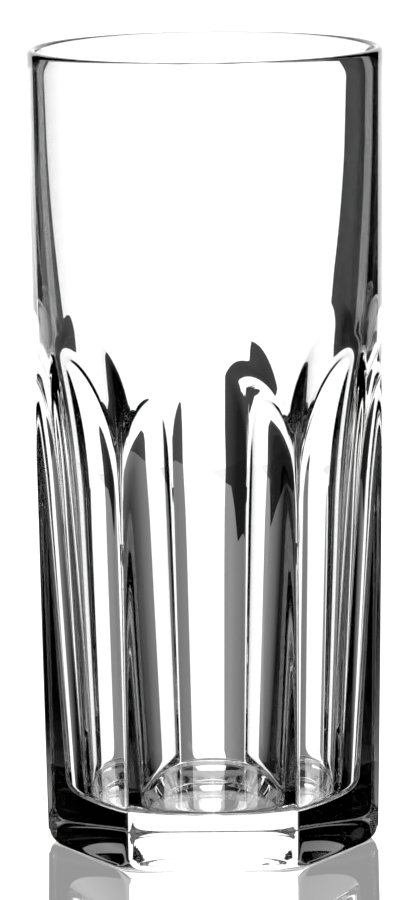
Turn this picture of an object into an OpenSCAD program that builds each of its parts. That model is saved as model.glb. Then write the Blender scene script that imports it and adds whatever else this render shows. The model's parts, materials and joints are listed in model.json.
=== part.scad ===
// Heavy straight-sided highball glass, cut all round with tall arched flat panels.
// One piece of glass: a round blank with a thick base, ground with flats that meet in sharp arrises.

/* [Round blank] */
// Height from the table to the top of the lip
glass_h = 150; // [135:1:165]
// Outside diameter across the lip
rim_d = 66; // [64:0.5:70]
// Outside diameter that the uncut blank has at the table
blank_d = 63.6; // [62:0.1:66]
// Thickness of the wall at the lip, which is melted round
lip_t = 1.7; // [1.4:0.1:3]

/* [Bore] */
// Thickness of glass between the bore's floor and the table
base_t = 9.5; // [7:0.5:14]
// Diameter of the bore at its floor
bore_floor_d = 43.1; // [38:0.2:45]
// Thickness left behind a panel's middle where the flat ends
panel_wall = 1.38; // [1:0.1:2.2]
// Height of the middle of the slow bend, where the lines of the walls below and above it meet
bore_bend_h = 109; // [96:0.5:116]
// How far the bend reaches down and up from there
bore_bend_reach = 25; // [5:1:32]
// Radius of the fillet between the bore's floor and its wall
floor_fillet_r = 5; // [1:0.2:8]

/* [Cut panels] */
// Number of flat panels round the glass
panel_n = 6; // [5:1:8]
// Distance across two opposite panels at the table
flats_d = 54.2; // [53:0.1:56]
// Angle by which each panel leans outwards, in degrees
panel_lean = 0.98; // [0:0.02:1.4]
// Height at which the flat ends and the cutting wheel starts to lift out
spring_h = 68.4; // [60:0.2:84]
// Radius of the cutting wheel, which leaves the arch over each flat
wheel_r = 105; // [60:1:110]

/* [Foot] */
// Diameter of the flat ring that stands on the table, before the panels cut it
foot_d = 57.3; // [52:0.1:60]
// Radius of the polished edge round the foot
foot_edge_r = 2.4; // [1.5:0.1:4]
// Diameter of the hollow ground into the underside
hollow_d = 43.8; // [30:0.2:49]
// Depth of that hollow at its middle
hollow_depth = 2.1; // [0.5:0.1:3]

/* [Hidden] */
// How far a cut runs past the glass that it removes
cut = 2;
// Facets of a full turn in the preview
$fn = 240;

rim_r = rim_d / 2;
lip_r = lip_t / 2;
bore_rim_r = rim_r - lip_t;
floor_r = bore_floor_d / 2;

// Where a panel's flat ends, at the panel's middle
spring_x = flats_d / 2 + spring_h * sin(panel_lean);
spring_z = spring_h * cos(panel_lean);

// The bore leans out from its floor so that it leaves the panel wall there
bore_lean = atan2(spring_x - panel_wall - floor_r, spring_z - base_t);
bend_r = floor_r + (bore_bend_h - base_t) * tan(bore_lean);

// Above the bend the bore runs almost upright to the lip, and the bend touches both walls
top_lean = atan2(bore_rim_r - bend_r, glass_h - bore_bend_h);
bend_start = [bend_r, bore_bend_h] - bore_bend_reach * [sin(bore_lean), cos(bore_lean)];
bend_end = [bend_r, bore_bend_h] + bore_bend_reach * [sin(top_lean), cos(top_lean)];
bend_arc_r = bore_bend_reach / tan((bore_lean - top_lean) / 2);
bend_centre = bend_start + bend_arc_r * [-cos(bore_lean), sin(bore_lean)];

// The fillet touches the floor and the leaning wall
fillet_x = floor_r + floor_fillet_r * tan(bore_lean) - floor_fillet_r / cos(bore_lean);
fillet_end = [
    fillet_x + floor_fillet_r * cos(bore_lean),
    base_t + floor_fillet_r - floor_fillet_r * sin(bore_lean)
];

// The hollow underneath is part of a ball of this radius
hollow_ball_r = (pow(hollow_d / 2, 2) + pow(hollow_depth, 2)) / (2 * hollow_depth);

// Half section of the blank with its foot edge rounded, before it is bored
module blank_section() {
    intersection() {
        polygon([[0, 0], [blank_d / 2, 0], [rim_r, glass_h - lip_r], [0, glass_h - lip_r]]);
        union() {
            square([foot_d / 2, glass_h]);
            translate([0, foot_edge_r]) square([rim_r + blank_d / 2, glass_h]);
            translate([foot_d / 2, foot_edge_r]) circle(r = foot_edge_r);
        }
    }
}

// Half section of the bore: floor, fillet, leaning wall, bend and the upright wall to the lip
module bore_section() {
    polygon([[0, base_t], [fillet_x, base_t], fillet_end, bend_start, [0, bend_start[1]]]);
    translate([fillet_x, base_t + floor_fillet_r]) circle(r = floor_fillet_r);
    intersection() {
        translate(bend_centre) circle(r = bend_arc_r, $fn = 8 * $fn);
        translate([0, bend_start[1]]) square([rim_r, bend_end[1] - bend_start[1]]);
    }
    polygon([[0, bend_end[1]], bend_end, [bore_rim_r, glass_h], [bore_rim_r, glass_h + cut], [0, glass_h + cut]]);
}

// Half section of the round glass, with its melted lip and the hollow underneath
module glass_section() {
    difference() {
        blank_section();
        intersection() {
            bore_section();
            square([rim_r, glass_h + cut]);
        }
        intersection() {
            translate([0, hollow_depth - hollow_ball_r]) circle(r = hollow_ball_r, $fn = 4 * $fn);
            square([rim_r, glass_h]);
        }
    }
    translate([rim_r - lip_r, glass_h - lip_r]) circle(r = lip_r);
}

// What the wheel grinds away for one panel: a flat, then the wheel's own curve as it lifts out
module panel_cut() {
    translate([flats_d / 2, 0, 0])
        rotate([0, panel_lean, 0])
            rotate([90, 0, 0])
                linear_extrude(height = rim_d, center = true) {
                    translate([0, -cut]) square([wheel_r, spring_h + cut]);
                    translate([wheel_r, spring_h]) circle(r = wheel_r, $fn = 4 * $fn);
                }
}

module tumbler() {
    color("white", 0.5)
        difference() {
            rotate_extrude() glass_section();
            for (i = [0 : panel_n - 1])
                rotate([0, 0, i * 360 / panel_n - 90]) panel_cut();
        }
}

tumbler();
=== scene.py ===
# A highball glass of cut lead crystal, ground with tall arched panels, on a glossy white table top.
import json
import math

import bpy
import numpy as np
from mathutils import Matrix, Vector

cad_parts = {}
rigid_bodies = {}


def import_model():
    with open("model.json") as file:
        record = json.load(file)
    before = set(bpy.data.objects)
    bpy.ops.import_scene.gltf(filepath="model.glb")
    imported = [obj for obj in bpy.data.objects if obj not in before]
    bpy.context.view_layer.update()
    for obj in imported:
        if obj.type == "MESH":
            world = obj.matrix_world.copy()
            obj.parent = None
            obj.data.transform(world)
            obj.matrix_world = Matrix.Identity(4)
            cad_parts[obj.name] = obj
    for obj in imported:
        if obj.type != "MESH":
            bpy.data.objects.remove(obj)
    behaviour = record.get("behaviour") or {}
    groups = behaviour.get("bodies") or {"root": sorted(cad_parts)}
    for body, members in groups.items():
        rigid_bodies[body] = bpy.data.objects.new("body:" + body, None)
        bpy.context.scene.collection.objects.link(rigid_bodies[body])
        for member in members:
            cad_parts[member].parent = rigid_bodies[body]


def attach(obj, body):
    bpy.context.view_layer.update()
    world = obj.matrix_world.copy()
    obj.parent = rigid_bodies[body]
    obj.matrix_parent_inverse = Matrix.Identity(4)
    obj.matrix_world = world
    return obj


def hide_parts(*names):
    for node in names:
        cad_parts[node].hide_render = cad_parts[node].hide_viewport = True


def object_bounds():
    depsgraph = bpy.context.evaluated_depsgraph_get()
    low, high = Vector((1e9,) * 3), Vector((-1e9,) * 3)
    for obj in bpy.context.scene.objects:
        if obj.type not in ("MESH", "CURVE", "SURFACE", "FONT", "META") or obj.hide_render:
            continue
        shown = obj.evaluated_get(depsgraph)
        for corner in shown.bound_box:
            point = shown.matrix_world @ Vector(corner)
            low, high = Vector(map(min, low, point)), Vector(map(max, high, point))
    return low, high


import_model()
CAD_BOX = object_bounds()
CAD_SIZE = CAD_BOX[1] - CAD_BOX[0]

bl_info = {
    "name": "Cut crystal highball",
    "version": (1, 0, 0),
    "blender": (4, 5, 0),
    "location": "3D View > Sidebar > Highball",
    "description": "A highball glass of cut lead crystal and the lit table it is shown on",
    "category": "Add Mesh",
}

MM = 0.001
NODE = "tumbler"
BODY = "root"
WHITE = "FFFFFF"

# Rings of faces on each stretch of the half section, from the hollow underneath to the bore's floor
HOLLOW_RINGS = 16
FOOT_RINGS = 8
CORNER_RINGS = 4
EDGE_RINGS = 9
FLAT_RINGS = 14
LIFT_RINGS = 14
ARCH_RINGS = 12
WALL_RINGS = 18
LIP_RINGS = 16
BORE_RINGS = 48
FILLET_RINGS = 12
FLOOR_RINGS = 12

# How strongly the rings draw together at both ends of the foot, and of the wall above the arches
FOOT_EASE = 0.6
WALL_EASE = 0.3
# How strongly the columns of faces draw together at a panel's edge
COLUMN_POWER = 1.6
# Radius of the fine corner where the flat foot meets its polished edge
FOOT_CORNER = 0.3 * MM
# Share of the springing height up to which the rings are spaced for the flat
FLAT_SHARE = 0.9
# Reach of the close rings to both sides of an arch, in edge softnesses, and its limit as a share of height
ARCH_SOFTNESSES = 4
ARCH_SHARE = 0.1
# Halvings that find the height of an arch
ARCH_HALVINGS = 40
# Points that are nearer to each other than this are merged
MERGE_DISTANCE = 0.001 * MM

# Strength of the light that comes off the white card
CARD_GLOW = 1.42
# How far the card and its surround reach below the table top, so that no gap shows
CARD_TUCK = 30 * MM
# How far the surround stands behind the card
SURROUND_GAP = 1 * MM
# Strength of the surround's glow right beside the card, and where it has faded: painted light spilling from
# the card on to the surround
GLOW_LEFT = (0.1, 0.02)
GLOW_RIGHT = (0.075, 0.016)
# Share of the surround's width over which the painted glow on the right fades
FADE_RIGHT_SHARE = 0.5
# A ray that has taken more turns than this finds the surround dark. Each face it passes counts as two
SURROUND_TURNS = 1.5
PASS_TURNS = 2.0
# Sines of the heights in the sky between which the light from above comes up, and its strength
CEILING_FROM = 0.81
CEILING_TO = 0.88
CEILING_GLOW = 0.37

# Width of the table top, and how far it lies below the foot so that their faces don't meet
TABLE_SIZE = 8
TABLE_DROP = 0.05 * MM
# The table's grey, where a ray through the glass finds it, is painted light on the table, with painted
# shade where it is cut off. A ray that has taken more turns than this finds that grey where the next values
# allow it
PAINTED_LIGHT_TURNS = 2.5
# The painted light reaches this far behind the axis
PAINTED_LIGHT_BACK = 202 * MM
# Left of this place it goes farther back, to the slanted line where X times the slope plus Y is the reach
PAINTED_LIGHT_SIDE = 81 * MM
PAINTED_LIGHT_SLOPE = 0.77
PAINTED_LIGHT_REACH = 347 * MM
# Directions from the axis, as X over Y, between which the painted light fades out to painted shade on the
# right and on the left
PAINTED_LIGHT_FADE_RIGHT = (0.285, 0.94)
PAINTED_LIGHT_FADE_LEFT = (0.3, -1.56)
# Least Y in that division, so that the table in front of the glass has a direction too
PAINTED_LIGHT_LEAST_Y = 1 * MM
# Within this radius, right under the glass, the painted light shows in any case
PAINTED_LIGHT_UNDER = 20 * MM

# How often light may bend or bounce, which is enough to cross both walls and the thick base
LIGHT_BOUNCES = 24


class HighballSizes(bpy.types.PropertyGroup):
    """The sizes of the glass."""

    height: bpy.props.FloatProperty(
        name="Height", description="From the table to the top of the lip",
        default=CAD_SIZE.z, unit="LENGTH")
    rim_radius: bpy.props.FloatProperty(
        name="Rim radius", description="Outside radius of the lip",
        default=CAD_SIZE.x / 2, unit="LENGTH")
    blank_radius: bpy.props.FloatProperty(
        name="Blank radius", description="Outside radius that the uncut blank has at the table",
        default=31.8 * MM, unit="LENGTH")
    lip_thickness: bpy.props.FloatProperty(
        name="Lip thickness", description="Thickness of the wall at the melted lip",
        default=1.7 * MM, unit="LENGTH")
    base_thickness: bpy.props.FloatProperty(
        name="Base thickness", description="Glass between the floor of the bore and the table",
        default=9.5 * MM, unit="LENGTH")
    bore_floor_radius: bpy.props.FloatProperty(
        name="Bore floor radius", description="Radius at which the bore's wall would meet its floor",
        default=21.55 * MM, unit="LENGTH")
    panel_wall: bpy.props.FloatProperty(
        name="Panel wall", description="Thickness behind a panel's middle where the flat ends",
        default=1.38 * MM, unit="LENGTH")
    bore_bend_height: bpy.props.FloatProperty(
        name="Bore bend height", description="Middle of the slow bend between the bore's two walls",
        default=109 * MM, unit="LENGTH")
    bore_bend_reach: bpy.props.FloatProperty(
        name="Bore bend reach", description="How far the bend reaches down and up from its middle",
        default=25 * MM, unit="LENGTH")
    floor_fillet: bpy.props.FloatProperty(
        name="Floor fillet", description="Radius between the bore's floor and its wall",
        default=2 * MM, unit="LENGTH")
    panel_count: bpy.props.IntProperty(
        name="Panels", description="Number of flat panels round the glass", default=6, min=5, max=8)
    panel_radius: bpy.props.FloatProperty(
        name="Panel distance", description="From the axis to a panel's middle at the table",
        default=27.1 * MM, unit="LENGTH")
    panel_lean: bpy.props.FloatProperty(
        name="Panel lean", description="Angle by which each panel leans outwards",
        default=math.radians(0.98), subtype="ANGLE", unit="ROTATION")
    spring_height: bpy.props.FloatProperty(
        name="Springing height", description="Height at which the cutting wheel starts to lift out",
        default=68.4 * MM, unit="LENGTH")
    wheel_radius: bpy.props.FloatProperty(
        name="Wheel radius", description="Radius of the cutting wheel, which shapes the arches",
        default=105 * MM, unit="LENGTH")
    edge_softness: bpy.props.FloatProperty(
        name="Edge softness", description="Depth over which the polish has rounded the cut edges",
        default=0.7 * MM, unit="LENGTH")
    foot_radius: bpy.props.FloatProperty(
        name="Foot radius", description="Radius of the flat foot before the panels cut it",
        default=28.65 * MM, unit="LENGTH")
    foot_edge: bpy.props.FloatProperty(
        name="Foot edge", description="Radius of the polished edge round the foot",
        default=2.4 * MM, unit="LENGTH")
    hollow_radius: bpy.props.FloatProperty(
        name="Hollow radius", description="Radius of the hollow ground into the underside",
        default=24.4 * MM, unit="LENGTH")
    hollow_depth: bpy.props.FloatProperty(
        name="Hollow depth", description="Depth of that hollow at its middle",
        default=2.3 * MM, unit="LENGTH")
    columns: bpy.props.IntProperty(
        name="Columns", description="Columns of faces from a panel's middle to its edge",
        default=30, min=8, max=40)


class HighballFinish(bpy.types.PropertyGroup):
    """The finish of the glass and of its table, with the grey glow that is painted light on the table."""

    crystal_colour: bpy.props.StringProperty(
        name="Crystal", description="Colour of the glass, as sRGB hex", default=WHITE)
    crystal_ior: bpy.props.FloatProperty(
        name="Crystal IOR", description="How strongly the glass bends light", default=1.54)
    # Grey of the table's glow: painted light, which the camera sees as an even floor
    table_painted_light: bpy.props.StringProperty(
        name="Table", description="Grey that the table adds to what it mirrors, as sRGB hex",
        default="979797")
    table_gloss: bpy.props.FloatProperty(
        name="Table gloss", description="Share of the light that the lacquer mirrors",
        default=0.8, subtype="FACTOR", min=0, max=1)


class HighballStudio(bpy.types.PropertyGroup):
    """Where the camera, the white card and its surround stand."""

    camera_distance: bpy.props.FloatProperty(
        name="Camera distance", description="From the glass's axis to the lens, level",
        default=1080.2 * MM, unit="LENGTH")
    camera_height: bpy.props.FloatProperty(
        name="Camera height", description="From the table to the lens",
        default=247.9 * MM, unit="LENGTH")
    camera_azimuth: bpy.props.FloatProperty(
        name="Camera azimuth", description="How far round the glass the camera stands",
        default=math.radians(0.318), subtype="ANGLE", unit="ROTATION")
    camera_pan: bpy.props.FloatProperty(
        name="Camera pan", description="How far the camera points past the glass's axis",
        default=math.radians(0.017), subtype="ANGLE", unit="ROTATION")
    camera_tilt: bpy.props.FloatProperty(
        name="Camera tilt", description="How far the camera looks down",
        default=math.radians(9.124), subtype="ANGLE", unit="ROTATION")
    camera_roll: bpy.props.FloatProperty(
        name="Camera roll", description="How far the camera leans over",
        default=math.radians(-0.643), subtype="ANGLE", unit="ROTATION")
    camera_lens: bpy.props.FloatProperty(
        name="Lens", description="Focal length", default=233.92, unit="CAMERA")
    card_distance: bpy.props.FloatProperty(
        name="Card distance", description="From the glass's axis back to the white card",
        default=340 * MM, unit="LENGTH")
    card_up: bpy.props.FloatVectorProperty(
        name="Card heights", description="Foot, knee, waist and top of the card above the table",
        default=(0, 40 * MM, 110 * MM, 630 * MM), size=4, unit="LENGTH")
    card_left: bpy.props.FloatVectorProperty(
        name="Card left", description="Left edge of the card at its foot, knee, waist and top",
        default=(-118 * MM, -110 * MM, -111 * MM, -118 * MM), size=4, unit="LENGTH")
    card_right: bpy.props.FloatVectorProperty(
        name="Card right", description="Right edge of the card at its foot, knee, waist and top",
        default=(74 * MM, 65 * MM, 64 * MM, 103 * MM), size=4, unit="LENGTH")
    surround_width: bpy.props.FloatProperty(
        name="Surround width", description="How far the surround reaches beside the card",
        default=120 * MM, unit="LENGTH")


def soft_min(a, b, depth):
    """The smaller of two distances, with the corner between them rounded."""
    overlap = np.clip(depth - np.abs(a - b), 0, None) / depth
    return np.minimum(a, b) - overlap * overlap * depth / 4


def spaced(start, end, count, ease=0.0, last=False):
    """Count values from start towards end, closer together near both ends as ease rises."""
    share = np.arange(count + (1 if last else 0)) / count
    eased = share - ease * np.sin(2 * math.pi * share) / (2 * math.pi)
    return start + (end - start) * eased


def blank_at(s, z):
    """Outside radius of the round blank at height z, with its foot edge."""
    cone = s.blank_radius + (s.rim_radius - s.blank_radius) * z / (s.height - s.lip_thickness / 2)
    drop = np.clip(s.foot_edge - z, 0, s.foot_edge)
    foot = s.foot_radius + np.sqrt(s.foot_edge ** 2 - drop ** 2)
    return np.where(z < s.foot_edge, np.minimum(foot, cone), cone)


def panel_at(s, z):
    """Distance from the axis to the middle of a ground panel at height z."""
    sine, cosine = math.sin(s.panel_lean), math.cos(s.panel_lean)
    flat = s.panel_radius + z * math.tan(s.panel_lean)
    centre_x = s.panel_radius + s.wheel_radius * cosine + s.spring_height * sine
    centre_z = s.spring_height * cosine - s.wheel_radius * sine
    reach = np.clip(s.wheel_radius ** 2 - (z - centre_z) ** 2, 0, None)
    lifted = centre_x - np.sqrt(reach)
    return np.where(z > s.spring_height * cosine, lifted, flat)


def outside_at(s, z, turn):
    """Outside radius at height z, at an angle of turn from the middle of a panel."""
    near = panel_at(s, z) / math.cos(turn)
    far = panel_at(s, z) / math.cos(2 * math.pi / s.panel_count - turn)
    ground = soft_min(near, far, s.edge_softness)
    return soft_min(ground, blank_at(s, z), s.edge_softness)


def arch_height(s, turn):
    """Height at which a panel runs out into the round wall."""
    low, high = s.spring_height / 2, s.height - 2 * s.lip_thickness
    for _ in range(ARCH_HALVINGS):
        middle = (low + high) / 2
        if panel_at(s, middle) / math.cos(turn) < blank_at(s, middle):
            low = middle
        else:
            high = middle
    return low


def bore_lean(s):
    """Angle by which the bore's lower wall leans, which leaves the panel wall where the flat ends."""
    spring_z = s.spring_height * math.cos(s.panel_lean)
    spread = panel_at(s, spring_z) - s.panel_wall - s.bore_floor_radius
    return math.atan2(spread, spring_z - s.base_thickness)


def bore_at(s, z):
    """Radius of the bore at height z, above its fillet: a leaning wall, a slow bend and an upright wall."""
    lean, bend_z, reach = bore_lean(s), s.bore_bend_height, s.bore_bend_reach
    bend_r = s.bore_floor_radius + (bend_z - s.base_thickness) * math.tan(lean)
    top_lean = math.atan2(s.rim_radius - s.lip_thickness - bend_r, s.height - bend_z)
    bend_radius = reach / math.tan((lean - top_lean) / 2)
    start_r, start_z = bend_r - reach * math.sin(lean), bend_z - reach * math.cos(lean)
    centre_r, centre_z = start_r - bend_radius * math.cos(lean), start_z + bend_radius * math.sin(lean)

    leaning = bend_r + (z - bend_z) * math.tan(lean)
    upright = bend_r + (z - bend_z) * math.tan(top_lean)
    bent = centre_r + np.sqrt(np.clip(bend_radius ** 2 - (z - centre_z) ** 2, 0, None))
    return np.where(z < start_z, leaning, np.where(z > bend_z + reach * math.cos(top_lean), upright, bent))


def section(s, turn):
    """Half section of the glass at an angle of turn from a panel's middle: radii and heights.

    It runs from the middle of the underside, up the outside, over the lip and down the bore.
    """
    ball = (s.hollow_radius ** 2 + s.hollow_depth ** 2) / (2 * s.hollow_depth)
    hollow_r = spaced(0, s.hollow_radius, HOLLOW_RINGS)
    hollow_z = np.sqrt(ball ** 2 - hollow_r ** 2) + s.hollow_depth - ball

    foot_r = outside_at(s, np.array([0.0]), turn)[0] - FOOT_CORNER
    ring_r = spaced(s.hollow_radius, foot_r, FOOT_RINGS, FOOT_EASE)

    # Beside an arris the arch lies below the end of the flat, and the rings run back down to it there
    arch = arch_height(s, turn)
    reach = min(ARCH_SOFTNESSES * s.edge_softness, arch * ARCH_SHARE)
    flat_end = s.spring_height * FLAT_SHARE
    corner_z = FOOT_CORNER * (1 - np.cos(spaced(0, math.pi / 2, CORNER_RINGS)))
    edge_z = FOOT_CORNER + (s.foot_edge - FOOT_CORNER) * (1 - np.cos(spaced(0, math.pi / 2, EDGE_RINGS)))
    wall_z = np.concatenate([
        corner_z,
        edge_z,
        spaced(s.foot_edge, flat_end, FLAT_RINGS),
        spaced(flat_end, arch - reach, LIFT_RINGS),
        spaced(arch - reach, arch + reach, ARCH_RINGS),
        spaced(arch + reach, s.height - s.lip_thickness / 2, WALL_RINGS, WALL_EASE),
    ])
    inset = np.clip(FOOT_CORNER - wall_z, 0, FOOT_CORNER)
    wall_r = outside_at(s, wall_z, turn) - (FOOT_CORNER - np.sqrt(FOOT_CORNER ** 2 - inset ** 2))

    lip = s.lip_thickness / 2
    lip_turn = spaced(0, math.pi, LIP_RINGS)
    lip_r = s.rim_radius - lip + lip * np.cos(lip_turn)
    lip_z = s.height - lip + lip * np.sin(lip_turn)

    lean, fillet = bore_lean(s), s.floor_fillet
    fillet_x = s.bore_floor_radius + fillet * math.tan(lean) - fillet / math.cos(lean)
    fillet_top = s.base_thickness + fillet - fillet * math.sin(lean)
    bore_z = spaced(s.height - lip, fillet_top, BORE_RINGS)
    fillet_turn = spaced(-lean, -math.pi / 2, FILLET_RINGS)
    fillet_r = fillet_x + fillet * np.cos(fillet_turn)
    fillet_z = s.base_thickness + fillet + fillet * np.sin(fillet_turn)
    floor_r = spaced(fillet_x, 0, FLOOR_RINGS, last=True)

    radii = [hollow_r, ring_r, wall_r, lip_r, bore_at(s, bore_z), fillet_r, floor_r]
    heights = [hollow_z, 0 * ring_r, wall_z, lip_z, bore_z, fillet_z, 0 * floor_r + s.base_thickness]
    return np.concatenate(radii), np.concatenate(heights)


def deselect_all():
    """Leaves nothing selected, because an operator acts on all that is."""
    for thing in bpy.context.view_layer.objects:
        thing.select_set(False)


def srgb(hex_colour):
    """A colour written as sRGB hex, as linear red, green, blue and alpha."""
    def linear(value):
        return value / 12.92 if value <= 0.04045 else ((value + 0.055) / 1.055) ** 2.4
    return [linear(int(hex_colour[i:i + 2], 16) / 255) for i in (0, 2, 4)] + [1.0]


def add_node(tree, kind, settings=None, inputs=None):
    """Adds a node, sets its settings, and sets or links its inputs."""
    node = tree.nodes.new(kind)
    for name, value in (settings or {}).items():
        setattr(node, name, value)
    for name, value in (inputs or {}).items():
        if isinstance(value, bpy.types.NodeSocket):
            tree.links.new(value, node.inputs[name])
        else:
            node.inputs[name].default_value = value
    return node


def new_material(name):
    """An empty material and its node tree."""
    material = bpy.data.materials.new(name)
    material.use_nodes = True
    material.node_tree.nodes.clear()
    return material, material.node_tree


def cut_lead_crystal(finish):
    """Blown lead crystal, ground on a wheel and acid polished: clear, heavy and very bright."""
    material, tree = new_material("cut_lead_crystal")
    crystal = add_node(tree, "ShaderNodeBsdfPrincipled", inputs={
        "Base Color": srgb(finish.crystal_colour), "Roughness": 0.0, "IOR": finish.crystal_ior,
        "Transmission Weight": 1.0})
    add_node(tree, "ShaderNodeOutputMaterial", inputs={"Surface": crystal.outputs[0]})
    return material


def lacquered_table_painted_light(finish):
    """Lacquered white board: a clear mirror of the card over a glowing grey, which is painted light and not
    a colour of its own.

    The camera sees that grey all over, as an even floor. In the glass it shows only in the places that the
    values above give, as a painted pool of light, and elsewhere the board is dark under its mirror, as
    painted shade.
    """
    material, tree = new_material("lacquered_table_painted_light")
    place = add_node(tree, "ShaderNodeTexCoord")
    axes = add_node(tree, "ShaderNodeSeparateXYZ", inputs={0: place.outputs["Object"]})

    # The painted light fades out to painted shade on the right and on the left
    back = add_node(tree, "ShaderNodeMath", {"operation": "MAXIMUM"}, {
        0: axes.outputs["Y"], 1: PAINTED_LIGHT_LEAST_Y})
    side = add_node(tree, "ShaderNodeMath", {"operation": "DIVIDE"}, {
        0: axes.outputs["X"], 1: back.outputs[0]})
    right = add_node(tree, "ShaderNodeMapRange", inputs={
        "Value": side.outputs[0], "From Min": PAINTED_LIGHT_FADE_RIGHT[0], "From Max": PAINTED_LIGHT_FADE_RIGHT[1],
        "To Min": 1.0, "To Max": 0.0})
    left = add_node(tree, "ShaderNodeMapRange", inputs={
        "Value": side.outputs[0], "From Min": PAINTED_LIGHT_FADE_LEFT[0], "From Max": PAINTED_LIGHT_FADE_LEFT[1],
        "To Min": 1.0, "To Max": 0.0})
    faded = add_node(tree, "ShaderNodeMath", {"operation": "MULTIPLY"}, {
        0: right.outputs[0], 1: left.outputs[0]})

    # The painted light ends behind the glass, on the left farther back than on the right
    slant = add_node(tree, "ShaderNodeMath", {"operation": "MULTIPLY_ADD"}, {
        0: axes.outputs["X"], 1: PAINTED_LIGHT_SLOPE, 2: axes.outputs["Y"]})
    inner = add_node(tree, "ShaderNodeMath", {"operation": "LESS_THAN"}, {
        0: slant.outputs[0], 1: PAINTED_LIGHT_REACH})
    beside = add_node(tree, "ShaderNodeMath", {"operation": "LESS_THAN"}, {
        0: axes.outputs["X"], 1: PAINTED_LIGHT_SIDE})
    corner = add_node(tree, "ShaderNodeMath", {"operation": "MULTIPLY"}, {
        0: inner.outputs[0], 1: beside.outputs[0]})
    front = add_node(tree, "ShaderNodeMath", {"operation": "LESS_THAN"}, {
        0: axes.outputs["Y"], 1: PAINTED_LIGHT_BACK})
    near = add_node(tree, "ShaderNodeMath", {"operation": "MAXIMUM"}, {
        0: corner.outputs[0], 1: front.outputs[0]})
    lit = add_node(tree, "ShaderNodeMath", {"operation": "MULTIPLY"}, {
        0: faded.outputs[0], 1: near.outputs[0]})

    # The painted light shows right under the glass in any case
    length = add_node(tree, "ShaderNodeVectorMath", {"operation": "LENGTH"}, {0: place.outputs["Object"]})
    under = add_node(tree, "ShaderNodeMath", {"operation": "LESS_THAN"}, {
        0: length.outputs["Value"], 1: PAINTED_LIGHT_UNDER})
    filled = add_node(tree, "ShaderNodeMath", {"operation": "MAXIMUM"}, {
        0: lit.outputs[0], 1: under.outputs[0]})

    # Found in those places by rays that have turned often, as painted light, and all over by the camera, as
    # an even floor
    path = add_node(tree, "ShaderNodeLightPath")
    turns = add_node(tree, "ShaderNodeMath", {"operation": "ADD"}, {
        0: path.outputs["Transmission Depth"], 1: path.outputs["Glossy Depth"]})
    deep = add_node(tree, "ShaderNodeMath", {"operation": "GREATER_THAN"}, {
        0: turns.outputs[0], 1: PAINTED_LIGHT_TURNS})
    inside = add_node(tree, "ShaderNodeMath", {"operation": "MULTIPLY"}, {
        0: filled.outputs[0], 1: deep.outputs[0]})
    seen = add_node(tree, "ShaderNodeMath", {"operation": "MAXIMUM"}, {
        0: inside.outputs[0], 1: path.outputs["Is Camera Ray"]})

    # The glowing grey is painted light on the table, not a colour of the lacquer
    board = add_node(tree, "ShaderNodeEmission", inputs={
        "Color": srgb(finish.table_painted_light), "Strength": seen.outputs[0]})
    lacquer = add_node(tree, "ShaderNodeBsdfGlossy", inputs={
        "Color": [finish.table_gloss] * 3 + [1.0], "Roughness": 0.0})
    both = add_node(tree, "ShaderNodeAddShader", inputs={0: board.outputs[0], 1: lacquer.outputs[0]})
    add_node(tree, "ShaderNodeOutputMaterial", inputs={"Surface": both.outputs[0]})
    return material


def lit_card():
    """White card, lit evenly from behind."""
    material, tree = new_material("lit_card")
    glow = add_node(tree, "ShaderNodeEmission", inputs={"Color": srgb(WHITE), "Strength": CARD_GLOW})
    add_node(tree, "ShaderNodeOutputMaterial", inputs={"Surface": glow.outputs[0]})
    return material


def dim_card(name, edge, width, beside, beyond):
    """Dark surround of the white card. From edge on its glow, painted light spilling from the card, fades
    over width, from beside to beyond.

    It is white where the camera sees it past the glass, straight or in the table.
    """
    material, tree = new_material(name)
    place = add_node(tree, "ShaderNodeTexCoord")
    axes = add_node(tree, "ShaderNodeSeparateXYZ", inputs={0: place.outputs["Object"]})
    fade = add_node(tree, "ShaderNodeMapRange", inputs={
        "Value": axes.outputs["X"], "From Min": edge, "From Max": edge + width,
        "To Min": beside, "To Max": beyond})
    glow = add_node(tree, "ShaderNodeEmission", inputs={"Color": srgb(WHITE), "Strength": fade.outputs[0]})
    white = add_node(tree, "ShaderNodeEmission", inputs={"Color": srgb(WHITE), "Strength": CARD_GLOW})
    path = add_node(tree, "ShaderNodeLightPath")
    turns = add_node(tree, "ShaderNodeMath", {"operation": "MULTIPLY_ADD"}, {
        0: path.outputs["Transmission Depth"], 1: PASS_TURNS, 2: path.outputs["Glossy Depth"]})
    through = add_node(tree, "ShaderNodeMath", {"operation": "GREATER_THAN"}, {
        0: turns.outputs[0], 1: SURROUND_TURNS})
    either = add_node(tree, "ShaderNodeMixShader", inputs={
        0: through.outputs[0], 1: white.outputs[0], 2: glow.outputs[0]})
    add_node(tree, "ShaderNodeOutputMaterial", inputs={"Surface": either.outputs[0]})
    return material


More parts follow.
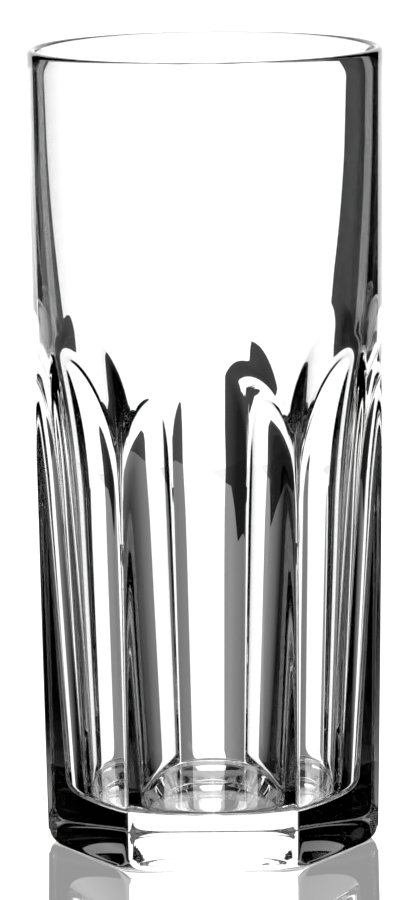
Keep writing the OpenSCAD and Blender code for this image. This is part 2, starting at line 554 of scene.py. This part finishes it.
class HIGHBALL_OT_tumbler(bpy.types.Operator):
    """Spin the half section, then grind the panels into it"""

    bl_idname = "highball.tumbler"
    bl_label = "Add the cut tumbler"

    def execute(self, context):
        s, finish = context.scene.highball_sizes, context.scene.highball_finish
        half_panel = math.pi / s.panel_count
        shares = 1 - (1 - np.arange(s.columns + 1) / s.columns) ** COLUMN_POWER
        turns = shares * half_panel
        sections = [section(s, turn) for turn in turns]
        radii, heights = sections[0]
        stations = len(radii)

        deselect_all()
        bpy.ops.mesh.primitive_circle_add(vertices=stations, radius=s.rim_radius, fill_type="NOTHING")
        tumbler = context.object
        tumbler.name = tumbler.data.name = "cut_tumbler"
        station = tumbler.data.attributes.new("station", "INT", "POINT")
        for number, vertex in enumerate(tumbler.data.vertices):
            vertex.co = (0, -radii[number], heights[number])
            station.data[number].value = number

        bpy.ops.object.mode_set(mode="EDIT")
        bpy.ops.mesh.select_all(action="DESELECT")
        bpy.ops.object.mode_set(mode="OBJECT")
        for edge in tumbler.data.edges:
            edge.select = set(edge.vertices) == {0, stations - 1}
        bpy.ops.object.mode_set(mode="EDIT")
        bpy.ops.mesh.select_mode(type="EDGE")
        bpy.ops.mesh.delete(type="EDGE")
        bpy.ops.mesh.select_mode(type="VERT")
        bpy.ops.mesh.select_all(action="SELECT")
        steps = 2 * s.columns * s.panel_count
        bpy.ops.mesh.spin(steps=steps, angle=2 * math.pi, center=(0, 0, 0), axis=(0, 0, 1))
        bpy.ops.object.mode_set(mode="OBJECT")

        self.grind(tumbler.data, s, turns, sections)

        bpy.ops.object.mode_set(mode="EDIT")
        bpy.ops.mesh.select_all(action="SELECT")
        bpy.ops.mesh.remove_doubles(threshold=MERGE_DISTANCE)
        bpy.ops.mesh.normals_make_consistent(inside=False)
        bpy.ops.object.mode_set(mode="OBJECT")
        bpy.ops.object.shade_smooth()

        tumbler.data.materials.append(cut_lead_crystal(finish))
        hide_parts(NODE)
        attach(tumbler, BODY)
        return {"FINISHED"}

    def grind(self, mesh, s, turns, sections):
        """Moves every vertex of the spun blank on to the ground glass."""
        all_r = np.array([radii for radii, _ in sections])
        all_z = np.array([heights for _, heights in sections])
        count = len(mesh.vertices)
        number = np.zeros(count, int)
        mesh.attributes["station"].data.foreach_get("value", number)

        # The spin adds one whole section after another, so a vertex's place in the list gives its step
        step = np.arange(count) // all_r.shape[1]
        per_panel = 2 * s.columns
        panel = (step + s.columns) // per_panel
        offset = step - panel * per_panel
        column = np.abs(offset)
        turn = panel * 2 * math.pi / s.panel_count + np.sign(offset) * turns[column]
        r, z = all_r[column, number], all_z[column, number]
        co = np.stack([-np.sin(turn) * r, -np.cos(turn) * r, z], axis=1)
        mesh.vertices.foreach_set("co", co.ravel())
        mesh.update()


class HIGHBALL_OT_stage(bpy.types.Operator):
    """Set up the camera, the glossy table, the white card and its surround"""

    bl_idname = "highball.stage"
    bl_label = "Set up the table and camera"

    def execute(self, context):
        studio, finish = context.scene.highball_studio, context.scene.highball_finish
        self.camera(context, studio)
        self.rig(context, studio, finish)
        self.world(context)
        context.scene.view_settings.view_transform = "Standard"
        cycles = context.scene.cycles
        cycles.max_bounces = cycles.transmission_bounces = cycles.glossy_bounces = LIGHT_BOUNCES
        return {"FINISHED"}

    def camera(self, context, studio):
        """The camera stands on a circle round the glass and looks a little down on it."""
        turn = Matrix.Rotation(studio.camera_azimuth + studio.camera_pan, 3, "Z")
        tilt = Matrix.Rotation(math.pi / 2 - studio.camera_tilt, 3, "X")
        roll = Matrix.Rotation(studio.camera_roll, 3, "Z")
        deselect_all()
        bpy.ops.object.camera_add(
            location=(
                studio.camera_distance * math.sin(studio.camera_azimuth),
                -studio.camera_distance * math.cos(studio.camera_azimuth),
                studio.camera_height),
            rotation=(turn @ tilt @ roll).to_euler())
        camera = context.object
        camera.name = "camera"
        camera.data.lens = studio.camera_lens
        context.scene.camera = camera

    def rig(self, context, studio, finish):
        """The card, its surround and the table stand on a turntable that always faces the camera, so the
        table's painted light and shade turn with it.
        """
        deselect_all()
        bpy.ops.object.empty_add(location=(0, 0, 0))
        turntable = context.object
        turntable.name = "turntable"
        track = turntable.constraints.new("LOCKED_TRACK")
        track.target = context.scene.camera
        track.track_axis = "TRACK_NEGATIVE_Y"
        track.lock_axis = "LOCK_Z"

        left, right, heights = list(studio.card_left), list(studio.card_right), list(studio.card_up)
        foot, top = -CARD_TUCK, heights[-1]
        heights[0] -= CARD_TUCK
        card = self.board("card", lit_card(), [*zip(right, heights), *reversed(list(zip(left, heights)))])

        width = studio.surround_width
        far_left, far_right = min(left) - width, max(right) + width
        dark_left = dim_card("dim_card_left", max(left), -width, *GLOW_LEFT)
        dark_right = dim_card("dim_card_right", min(right), width * FADE_RIGHT_SHARE, *GLOW_RIGHT)
        beside_left = self.board("surround_left", dark_left, [
            (far_left, foot), (0, foot), (0, top), (far_left, top)])
        beside_right = self.board("surround_right", dark_right, [
            (0, foot), (far_right, foot), (far_right, top), (0, top)])
        for thing, gap in ((card, 0), (beside_left, SURROUND_GAP), (beside_right, SURROUND_GAP)):
            thing.location.y = studio.card_distance + gap
            thing.parent = turntable

        deselect_all()
        bpy.ops.mesh.primitive_plane_add(size=TABLE_SIZE, location=(0, 0, -TABLE_DROP))
        table = context.object
        table.name = "table_top"
        table.data.materials.append(lacquered_table_painted_light(finish))
        table.parent = turntable

    def board(self, name, material, outline):
        """A flat upright board from its outline of left-right and up-down places."""
        deselect_all()
        bpy.ops.mesh.primitive_circle_add(vertices=len(outline), radius=1, fill_type="NGON")
        board = bpy.context.object
        board.name = name
        for vertex, (across, up) in zip(board.data.vertices, outline):
            vertex.co = (across, 0, up)
        board.data.materials.append(material)
        return board

    def world(self, context):
        """White where the camera sees it straight, and dark to the glass but for a dim light from above."""
        world = bpy.data.worlds.new("studio")
        world.use_nodes = True
        tree = world.node_tree
        tree.nodes.clear()
        path = add_node(tree, "ShaderNodeLightPath")
        white = add_node(tree, "ShaderNodeMath", {"operation": "MULTIPLY"}, {
            0: path.outputs["Is Camera Ray"], 1: CARD_GLOW})
        place = add_node(tree, "ShaderNodeTexCoord")
        axes = add_node(tree, "ShaderNodeSeparateXYZ", inputs={0: place.outputs["Generated"]})
        ceiling = add_node(tree, "ShaderNodeMapRange", inputs={
            "Value": axes.outputs["Z"], "From Min": CEILING_FROM, "From Max": CEILING_TO,
            "To Min": 0.0, "To Max": CEILING_GLOW})
        strength = add_node(tree, "ShaderNodeMath", {"operation": "MAXIMUM"}, {
            0: white.outputs[0], 1: ceiling.outputs[0]})
        glow = add_node(tree, "ShaderNodeBackground", inputs={
            "Color": srgb(WHITE), "Strength": strength.outputs[0]})
        add_node(tree, "ShaderNodeOutputWorld", inputs={"Surface": glow.outputs[0]})
        context.scene.world = world


class HIGHBALL_PT_panel(bpy.types.Panel):
    """Lists the steps that make the glass and its studio, and their values"""

    bl_idname = "HIGHBALL_PT_panel"
    bl_label = "Cut crystal highball"
    bl_space_type = "VIEW_3D"
    bl_region_type = "UI"
    bl_category = "Highball"

    def draw(self, context):
        for step in STEPS:
            self.layout.operator(step.bl_idname)
        for group in ("highball_sizes", "highball_finish", "highball_studio"):
            values = getattr(context.scene, group)
            for name in values.__annotations__:
                self.layout.prop(values, name)


STEPS = (HIGHBALL_OT_tumbler, HIGHBALL_OT_stage)
CLASSES = (HighballSizes, HighballFinish, HighballStudio, *STEPS, HIGHBALL_PT_panel)


def register():
    for cls in CLASSES:
        bpy.utils.register_class(cls)
    bpy.types.Scene.highball_sizes = bpy.props.PointerProperty(type=HighballSizes)
    bpy.types.Scene.highball_finish = bpy.props.PointerProperty(type=HighballFinish)
    bpy.types.Scene.highball_studio = bpy.props.PointerProperty(type=HighballStudio)


def unregister():
    del bpy.types.Scene.highball_studio
    del bpy.types.Scene.highball_finish
    del bpy.types.Scene.highball_sizes
    for cls in reversed(CLASSES):
        bpy.utils.unregister_class(cls)


def main():
    register()
    bpy.ops.highball.tumbler()
    bpy.ops.highball.stage()


if __name__ == "__main__":
    main()
